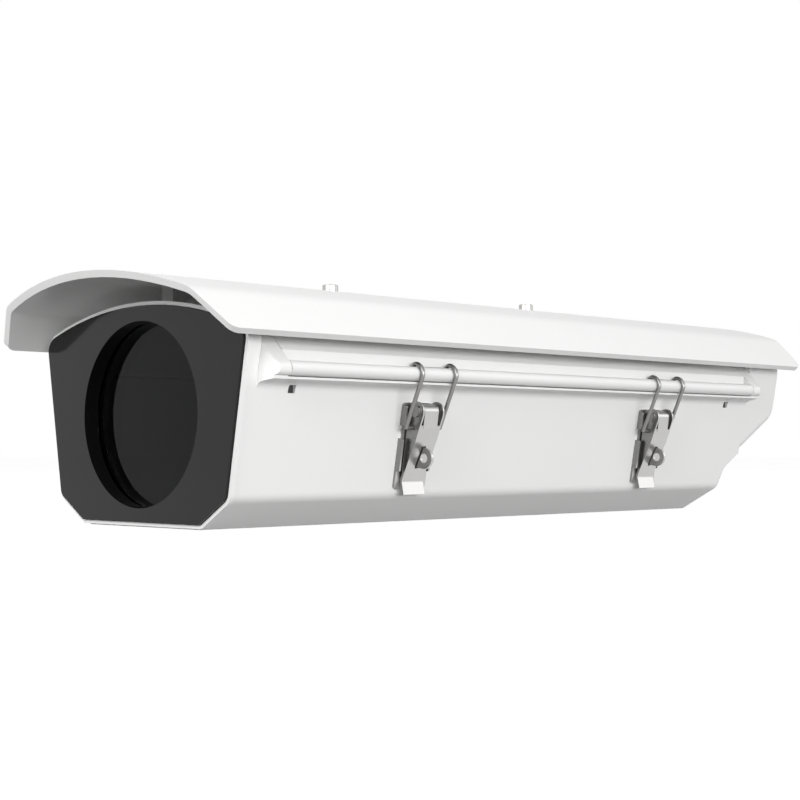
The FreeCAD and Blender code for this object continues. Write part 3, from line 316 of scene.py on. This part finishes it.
def finish_groups():
    """The shared surface groups, built once."""
    if "Powder Coat" not in bpy.data.node_groups:
        grain_group("Powder Coat", EVEN, cloud_scale=14.0, detail=3.0)
        grain_group("Brushed Along", LONG_ACROSS, cloud_scale=60.0, detail=4.0)
        # The latch steel's group also paints shade on the sides that face along Y
        grain_group("Brushed Upright", LONG_UPRIGHT, cloud_scale=60.0, detail=4.0,
                    side_painted_shade=SIDE_PAINTED_SHADE)
        grain_group("Moulded", EVEN, cloud_scale=40.0, detail=2.0)
    return bpy.data.node_groups


def surface(name, group, colour, roughness, grain, variation, bump,
            metallic=0.0, coat=0.0, glass=0.0, specular=0.5, ior=1.5):
    """Material from one surface group."""
    material = bpy.data.materials.new(name)
    material.use_nodes = True
    tree = material.node_tree
    shader = tree.nodes["Principled BSDF"]
    effect = tree.nodes.new("ShaderNodeGroup")
    effect.node_tree = finish_groups()[group]
    effect.inputs["Colour"].default_value = (*colour, 1.0)
    effect.inputs["Roughness"].default_value = roughness
    effect.inputs["Grain"].default_value = grain
    effect.inputs["Variation"].default_value = variation
    tree.links.new(effect.outputs["Colour"], shader.inputs["Base Color"])
    tree.links.new(effect.outputs["Roughness"], shader.inputs["Roughness"])
    relief = tree.nodes.new("ShaderNodeBump")
    relief.inputs["Strength"].default_value = bump
    relief.inputs["Distance"].default_value = RELIEF
    tree.links.new(effect.outputs["Height"], relief.inputs["Height"])
    tree.links.new(relief.outputs["Normal"], shader.inputs["Normal"])
    shader.inputs["Metallic"].default_value = metallic
    shader.inputs["Coat Weight"].default_value = coat
    shader.inputs["Coat Roughness"].default_value = COAT_ROUGHNESS
    shader.inputs["Transmission Weight"].default_value = glass
    shader.inputs["Specular IOR Level"].default_value = specular
    shader.inputs["IOR"].default_value = ior
    return material


def dress(material, *names):
    """Give CAD nodes one material."""
    for name in names:
        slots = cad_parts[name].data.materials
        slots.clear()
        slots.append(material)


# Mesh helpers

def finished(work, name, body, material, smooth=True):
    """Make an object of a bmesh, with its faces outwards, and let it ride on its body."""
    bmesh.ops.recalc_face_normals(work, faces=work.faces)
    mesh = bpy.data.meshes.new(name)
    work.to_mesh(mesh)
    work.free()
    for polygon in mesh.polygons:
        polygon.use_smooth = smooth
    mesh.materials.append(material)
    piece = bpy.data.objects.new(name, mesh)
    bpy.context.scene.collection.objects.link(piece)
    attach(piece, body)
    return piece


def middle(node):
    """Centre of a CAD node's box."""
    low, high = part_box(node)
    return (low + high) / 2


def add_ridge(work, radius, height, width, placement):
    """One closed thread ridge about the local Z axis, spun from its profile."""
    start = len(work.verts)
    foot = width / 2
    crest = foot * RIDGE_CREST
    points = ((radius, -foot), (radius + height, -crest), (radius + height, crest), (radius, foot))
    profile = [work.verts.new((x, 0.0, z)) for x, z in points]
    edges = [work.edges.new(pair) for pair in zip(profile, profile[1:] + profile[:1])]
    bmesh.ops.spin(work, geom=profile + edges, cent=(0, 0, 0), axis=(0, 0, 1), angle=2 * math.pi,
                   steps=RIDGE_STEPS, use_merge=True, use_duplicate=False)
    work.verts.ensure_lookup_table()
    bmesh.ops.transform(work, matrix=placement, verts=work.verts[start:])


# Operators

class HOUSING_OT_paint(bpy.types.Operator):
    """Powder coat on the casting, the lid and the sunshield"""
    bl_idname = "housing.paint"
    bl_label = "Paint castings and shield"

    def execute(self, context):
        finish = context.scene.housing_finish
        coat = surface("body_paint", "Powder Coat", finish.paint, roughness=finish.paint_roughness,
                       grain=900.0, variation=0.02, bump=0.10)
        shield = surface("shield_paint", "Powder Coat", finish.shield_paint,
                         roughness=finish.paint_roughness, grain=900.0, variation=0.02, bump=0.07)
        dress(coat, "lower_housing", "lid_cover")
        dress(shield, "sunshield")
        return {"FINISHED"}


class HOUSING_OT_window(bpy.types.Operator):
    """Gloss plate, tinted glass, black seals and the rubber block under the shield"""
    bl_idname = "housing.window"
    bl_label = "Finish the front window"

    def execute(self, context):
        finish = context.scene.housing_finish
        plate = surface("front_plate", "Moulded", finish.plate, roughness=0.10, grain=300.0,
                        variation=0.05, bump=0.01, specular=0.33)
        # The dark tint paints the shade of the housing's unlit inside, seen through the window
        glass = surface("window", "Moulded", finish.glass, roughness=0.015, grain=80.0,
                        variation=0.02, bump=0.0, glass=1.0, ior=1.22)
        rubber = surface("seal_rubber", "Moulded", finish.rubber, roughness=0.62, grain=1400.0,
                         variation=0.2, bump=0.25)
        block = surface("buffer_rubber", "Moulded", finish.buffer, roughness=0.55, grain=1400.0,
                        variation=0.1, bump=0.2)
        dress(plate, "front_bezel")
        dress(glass, "window_glass")
        dress(rubber, "window_gasket", "lid_gasket", "left_gland_seal", "right_gland_seal")
        dress(block, "shield_buffer")
        return {"FINISHED"}


class HOUSING_OT_pocket_shade(bpy.types.Operator):
    """Black blocks, set back in the pockets of the side walls, as painted shade for the deep pockets"""
    bl_idname = "housing.plugs"
    bl_label = "Paint shade in the side pockets"

    def execute(self, context):
        sizes = context.scene.housing_sizes
        low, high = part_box("lid_cover")
        spans = (sizes.shade_block_length, sizes.pocket_width - 2 * sizes.joint_gap,
                 sizes.pocket_tall - 2 * sizes.joint_gap)
        across = sizes.pocket_floor + sizes.joint_gap + sizes.shade_block_length / 2
        up = sizes.pocket_low + sizes.pocket_tall / 2
        work = bmesh.new()
        for side in (-1, 1):
            for along in (low.y + sizes.pocket_inset_front, high.y - sizes.pocket_inset_rear):
                place = Matrix.Translation((side * across, along, up)) @ Matrix.Diagonal((*spans, 1.0))
                bmesh.ops.create_cube(work, size=1.0, matrix=place)
        bmesh.ops.bevel(work, geom=work.edges[:], offset=sizes.pocket_width * SHADE_BLOCK_BEVEL,
                        segments=SHADE_BLOCK_BEVEL_STEPS, affect="EDGES")
        # The black seal rubber paints the shade of the deep pockets
        rubber = bpy.data.materials["seal_rubber"]
        finished(work, "pocket_plugs", "housing", rubber, smooth=False)
        return {"FINISHED"}


class HOUSING_OT_latches(bpy.types.Operator):
    """Brushed stainless latches with their pins, rivets and wire bails, and the lid's hinge pins"""
    bl_idname = "housing.latches"
    bl_label = "Finish the latches"

    def execute(self, context):
        finish = context.scene.housing_finish
        # Its group paints shade on the sides of the latch steel that face along Y
        steel = surface("latch_steel", "Brushed Upright", finish.steel, roughness=0.30, grain=2600.0,
                        variation=0.09, bump=0.05, metallic=1.0)
        wire = surface("latch_wire", "Brushed Along", finish.wire, roughness=0.30, grain=2200.0,
                       variation=0.10, bump=0.06, metallic=1.0)
        for end in ("front", "rear"):
            dress(steel, end + "_latch_base", end + "_latch_lever", end + "_latch_pin", end + "_hinge_pin")
            dress(wire, end + "_latch_bail")
        dress(steel, "latch_rivets")
        return {"FINISHED"}


class HOUSING_OT_fasteners(bpy.types.Operator):
    """Screws, washers and spacers"""
    bl_idname = "housing.fasteners"
    bl_label = "Finish the fasteners"

    def execute(self, context):
        finish = context.scene.housing_finish
        steel = surface("screw_steel", "Brushed Along", finish.screw, roughness=0.30, grain=2400.0,
                        variation=0.10, bump=0.06, metallic=1.0)
        turned = surface("spacer_metal", "Brushed Along", finish.tray, roughness=0.34, grain=1800.0,
                         variation=0.08, bump=0.06, metallic=1.0)
        brass = surface("earth_brass", "Brushed Along", finish.brass, roughness=0.30, grain=2400.0,
                        variation=0.08, bump=0.05, metallic=1.0)
        dress(steel, "shield_screws", "shield_washers", "bezel_screws", "tray_screws", "board_screws",
              "camera_screw")
        dress(turned, "shield_spacers")
        dress(brass, "earth_screw")
        self.camera_thread(context.scene.housing_sizes, steel)
        return {"FINISHED"}

    def camera_thread(self, sizes, steel):
        """Thread ridges on the camera screw above the tray."""
        centre = middle("camera_screw")
        screw_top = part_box("camera_screw")[1].z
        tray_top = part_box("camera_tray")[1].z
        count = int((screw_top - tray_top) / sizes.thread_pitch) - 1
        work = bmesh.new()
        for step in range(count):
            z = tray_top + (step + 1) * sizes.thread_pitch
            add_ridge(work, THREAD_RADIUS, sizes.thread_height, sizes.thread_pitch * RIDGE_WIDTH,
                      Matrix.Translation((centre.x, centre.y, z)))
        finished(work, "camera_screw_thread", "housing", steel)


class HOUSING_OT_glands(bpy.types.Operator):
    """Moulded cable glands and their blanking plugs"""
    bl_idname = "housing.glands"
    bl_label = "Finish the glands"

    def execute(self, context):
        finish = context.scene.housing_finish
        moulded = surface("gland_plastic", "Moulded", finish.gland, roughness=0.48, grain=900.0,
                          variation=0.08, bump=0.15)
        plug = surface("plug_plastic", "Moulded", finish.rubber, roughness=0.50, grain=900.0,
                       variation=0.1, bump=0.15)
        dress(moulded, "gland_locknuts")
        for side in ("left", "right"):
            dress(moulded, side + "_gland_body", side + "_gland_nut")
            dress(plug, side + "_gland_plug")
        return {"FINISHED"}


class HOUSING_OT_inside(bpy.types.Operator):
    """Camera tray, terminal board, its screws and solder pads"""
    bl_idname = "housing.inside"
    bl_label = "Finish the inside"

    def execute(self, context):
        finish = context.scene.housing_finish
        sizes = context.scene.housing_sizes
        tray = surface("tray_metal", "Brushed Along", finish.tray, roughness=0.34, grain=1500.0,
                       variation=0.07, bump=0.08, metallic=1.0)
        board = surface("board", "Moulded", finish.board, roughness=0.35, grain=500.0,
                        variation=0.12, bump=0.03, coat=0.4)
        strip = surface("terminal_plastic", "Moulded", finish.terminal, roughness=0.32, grain=700.0,
                        variation=0.06, bump=0.05)
        steel = bpy.data.materials["screw_steel"]
        dress(tray, "camera_tray", "tray_standoffs")
        dress(board, "terminal_board")
        dress(strip, "terminal_block")
        self.terminal_screws(sizes, steel)
        self.solder_pads(sizes, steel)
        return {"FINISHED"}

    def places(self):
        """Places of the ways of the terminal strip, along X."""
        low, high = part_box("terminal_block")
        pitch = (high.x - low.x) / TERMINAL_WAYS
        return [low.x + (way + 0.5) * pitch for way in range(TERMINAL_WAYS)]

    def terminal_screws(self, sizes, steel):
        """Screws in the wells of the terminal strip, each with a dish in its underside."""
        strip_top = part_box("terminal_block")[1].z
        y = middle("terminal_block").y - WELL_SHIFT
        z = strip_top - WELL_DEPTH + SCREW_HEIGHT / 2 + sizes.joint_gap
        underside = z - SCREW_HEIGHT / 2
        radius = sizes.terminal_screw_radius
        work = bmesh.new()
        for x in self.places():
            made = bmesh.ops.create_cone(work, cap_ends=True, segments=SCREW_SIDES, radius1=radius,
                                         radius2=radius * SCREW_TAPER, depth=SCREW_HEIGHT,
                                         matrix=Matrix.Translation((x, y, z)))
            caps = [face for vert in made["verts"] for face in vert.link_faces
                    if all(abs(corner.co.z - underside) < SAME_HEIGHT for corner in face.verts)]
            bmesh.ops.inset_individual(work, faces=[caps[0]], thickness=radius * SCREW_RIM,
                                       depth=-SCREW_HEIGHT * SCREW_DISH)
        finished(work, "terminal_screws", "housing", steel, smooth=False)

    def solder_pads(self, sizes, steel):
        """Domed solder joints along the back edge of the board."""
        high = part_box("terminal_board")[1]
        work = bmesh.new()
        for x in self.places():
            place = Vector((x, high.y - PAD_INSET, high.z))
            made = bmesh.ops.create_uvsphere(work, u_segments=PAD_SIDES, v_segments=PAD_RINGS,
                                             radius=sizes.pad_radius, matrix=Matrix.Translation(place))
            bmesh.ops.scale(work, vec=(1.0, 1.0, PAD_FLATNESS), space=Matrix.Translation(-place),
                            verts=made["verts"])
        finished(work, "solder_pads", "housing", steel)


class HOUSING_OT_stage(bpy.types.Operator):
    """Pale floor, white backdrop, soft lamps and the camera"""
    bl_idname = "housing.stage"
    bl_label = "Set up the studio"

    def execute(self, context):
        studio = context.scene.housing_studio
        self.floor(studio)
        self.world(studio)
        self.lamps(studio)
        self.camera(studio)
        context.scene.view_settings.view_transform = "Standard"
        return {"FINISHED"}

    def seen(self, tree):
        """One for rays from the camera, off a gloss surface or through glass."""
        path = tree.nodes.new("ShaderNodeLightPath")
        first = maths(tree, "MAXIMUM", path.outputs["Is Camera Ray"], path.outputs["Is Glossy Ray"])
        return maths(tree, "MAXIMUM", first, path.outputs["Is Transmission Ray"])

    def floor(self, studio):
        """Floor that looks white and still takes a faint shadow."""
        mesh = bpy.data.meshes.new("floor")
        work = bmesh.new()
        bmesh.ops.create_grid(work, x_segments=2, y_segments=2, size=studio.floor_half)
        work.to_mesh(mesh)
        work.free()
        piece = bpy.data.objects.new("floor", mesh)
        bpy.context.scene.collection.objects.link(piece)
        piece.location.z = -FLOOR_DROP
        mesh.materials.append(self.floor_material(studio))

    def floor_material(self, studio):
        """White to the eye, and a darker tone to the soft light that it sends back."""
        material = bpy.data.materials.new("floor")
        material.use_nodes = True
        tree = material.node_tree
        tree.nodes.remove(tree.nodes["Principled BSDF"])
        soft = tree.nodes.new("ShaderNodeBsdfDiffuse")
        soft.inputs["Color"].default_value = (studio.floor_tone, studio.floor_tone, studio.floor_tone, 1.0)
        glow = tree.nodes.new("ShaderNodeEmission")
        glow.inputs["Strength"].default_value = studio.floor_glow
        pale = tree.nodes.new("ShaderNodeBsdfDiffuse")
        pale.inputs["Color"].default_value = FLOOR_PALE
        faint = tree.nodes.new("ShaderNodeMixShader")
        faint.inputs["Fac"].default_value = FLOOR_GLOW_SHARE
        tree.links.new(pale.outputs["BSDF"], faint.inputs[1])
        tree.links.new(glow.outputs["Emission"], faint.inputs[2])
        choice = tree.nodes.new("ShaderNodeMixShader")
        tree.links.new(self.seen(tree), choice.inputs["Fac"])
        tree.links.new(soft.outputs["BSDF"], choice.inputs[1])
        tree.links.new(faint.outputs["Shader"], choice.inputs[2])
        tree.links.new(choice.outputs["Shader"], tree.nodes["Material Output"].inputs["Surface"])
        return material

    def world(self, studio):
        """White backdrop, with a weaker soft light from all round."""
        world = bpy.data.worlds.new("studio")
        bpy.context.scene.world = world
        world.use_nodes = True
        tree = world.node_tree
        back = tree.nodes["Background"]
        strength = maths(tree, "MULTIPLY", self.seen(tree), 1.0 - studio.sky)
        tree.links.new(maths(tree, "ADD", strength, studio.sky), back.inputs["Strength"])
        back.inputs["Color"].default_value = WHITE

    def lamp(self, name, place, aim, width, height, power):
        """Rectangular lamp that faces a point."""
        light = bpy.data.lights.new(name, "AREA")
        light.shape = "RECTANGLE"
        light.size = width
        light.size_y = height
        light.energy = power
        piece = bpy.data.objects.new(name, light)
        piece.location = place
        piece.rotation_euler = (Vector(aim) - Vector(place)).to_track_quat("-Z", "Y").to_euler()
        bpy.context.scene.collection.objects.link(piece)
        return piece

    def lamps(self, studio):
        """Large soft lamps all round; the one at the hinge side leaves no glare on the paint."""
        self.lamp("key", place=(1.5, -0.35, 0.26), aim=(0.0, 0.0, 0.05),
                  width=1.4, height=0.5, power=studio.key)
        self.lamp("front", place=(0.2, -1.7, 0.70), aim=(0.0, -0.2, 0.05),
                  width=1.4, height=0.9, power=studio.front)
        self.lamp("rear", place=(1.1, 1.3, 0.55), aim=(0.0, 0.0, 0.05),
                  width=1.0, height=0.6, power=studio.rear)
        fill = self.lamp("fill", place=(-1.3, 1.1, 0.45), aim=(0.0, 0.0, 0.05),
                         width=1.4, height=0.7, power=studio.fill)
        fill.visible_glossy = False
        self.lamp("top", place=(0.3, 0.0, 1.5), aim=(0.0, 0.0, 0.1),
                  width=1.2, height=1.2, power=studio.top)

    def camera(self, studio):
        """Camera at the photograph's place."""
        data = bpy.data.cameras.new("camera")
        data.sensor_width = SENSOR_WIDTH
        data.lens = studio.lens
        data.clip_start = NEAR_LIMIT
        piece = bpy.data.objects.new("camera", data)
        piece.location = (studio.camera_x, studio.camera_y, studio.camera_z)
        piece.rotation_euler = (math.pi / 2 + studio.pitch, 0.0, studio.turn)
        bpy.context.scene.collection.objects.link(piece)
        bpy.context.scene.camera = piece


STEPS = (
    HOUSING_OT_paint,
    HOUSING_OT_window,
    HOUSING_OT_pocket_shade,
    HOUSING_OT_latches,
    HOUSING_OT_fasteners,
    HOUSING_OT_glands,
    HOUSING_OT_inside,
    HOUSING_OT_stage,
)


class HOUSING_PT_steps(bpy.types.Panel):
    """Sidebar list of the steps"""
    bl_idname = "HOUSING_PT_steps"
    bl_label = "Camera housing"
    bl_space_type = "VIEW_3D"
    bl_region_type = "UI"
    bl_category = "Housing"

    def draw(self, context):
        for step in STEPS:
            self.layout.operator(step.bl_idname)


GROUPS = (HousingFinish, HousingSizes, HousingStudio)


def register():
    """Add the classes and the scene's property groups."""
    for item in GROUPS + STEPS + (HOUSING_PT_steps,):
        bpy.utils.register_class(item)
    bpy.types.Scene.housing_finish = bpy.props.PointerProperty(type=HousingFinish)
    bpy.types.Scene.housing_sizes = bpy.props.PointerProperty(type=HousingSizes)
    bpy.types.Scene.housing_studio = bpy.props.PointerProperty(type=HousingStudio)


def unregister():
    """Take the classes and property groups away."""
    del bpy.types.Scene.housing_finish
    del bpy.types.Scene.housing_sizes
    del bpy.types.Scene.housing_studio
    for item in reversed(GROUPS + STEPS + (HOUSING_PT_steps,)):
        bpy.utils.unregister_class(item)


def main():
    """Build the looks in order."""
    register()
    bpy.ops.housing.paint()
    bpy.ops.housing.window()
    bpy.ops.housing.plugs()
    bpy.ops.housing.latches()
    bpy.ops.housing.fasteners()
    bpy.ops.housing.glands()
    bpy.ops.housing.inside()
    bpy.ops.housing.stage()


if __name__ == "__main__":
    main()
